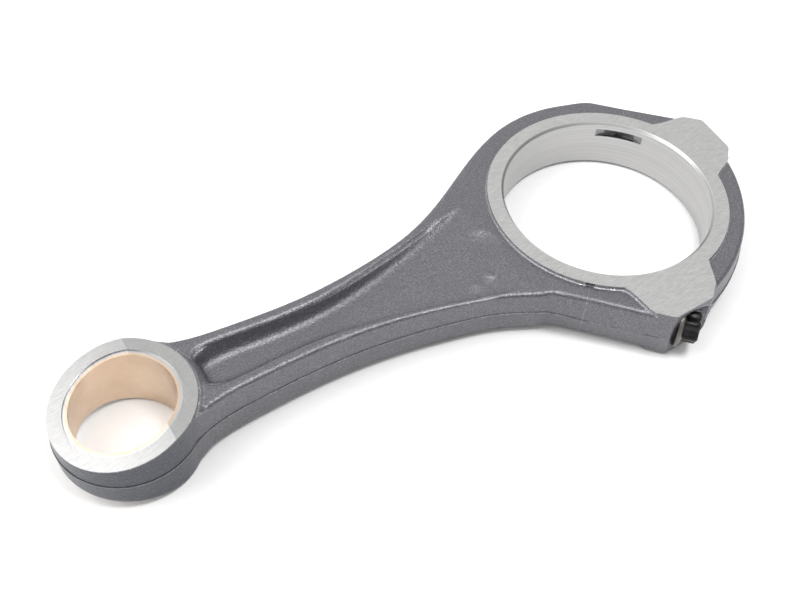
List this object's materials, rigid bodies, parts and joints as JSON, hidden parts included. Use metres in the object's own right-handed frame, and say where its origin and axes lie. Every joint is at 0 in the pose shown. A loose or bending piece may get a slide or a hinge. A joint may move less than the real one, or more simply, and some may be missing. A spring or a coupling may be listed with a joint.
{
  "type": "connecting rod",
  "caption": "Forged I-section connecting rod with an oblique split big end, a bolted cap, and a bushed small end with tapered sides.",
  "frame": {"origin": "centre of the crank bore, half way through the width of the big end", "axes": "+Z along both bores, -X from the crank bore to the piston pin bore; the cap comes off along (1, -1, 0)"},
  "size_m": [0.2414, 0.1013, 0.0226],
  "materials": {
    "forged_steel": "shot-blasted forging skin with bright machined faces",
    "bolt_steel": "black phosphate",
    "bush_steel": "bored",
    "bronze": "fine bored bronze"
  },
  "bodies": {
    "rod": {"rod_body": "forged_steel", "bush_backing": "bush_steel", "bush_lining": "bronze"},
    "cap": {"rod_cap": "forged_steel"},
    "bolt_near": {"cap_bolt_near": "bolt_steel"},
    "bolt_far": {"cap_bolt_far": "bolt_steel"}
  },
  "joints": [
    {"name": "cap_lift", "type": "slide", "parent": "rod", "child": "cap", "axis": [0.7071, -0.7071, 0], "range_m": [0, 0.045]},
    {"name": "bolt_near_withdraw", "type": "slide", "parent": "cap", "child": "bolt_near", "axis": [0.7071, -0.7071, 0], "range_m": [0, 0.05]},
    {"name": "bolt_far_withdraw", "type": "slide", "parent": "cap", "child": "bolt_far", "axis": [0.7071, -0.7071, 0], "range_m": [0, 0.05]}
  ]
}
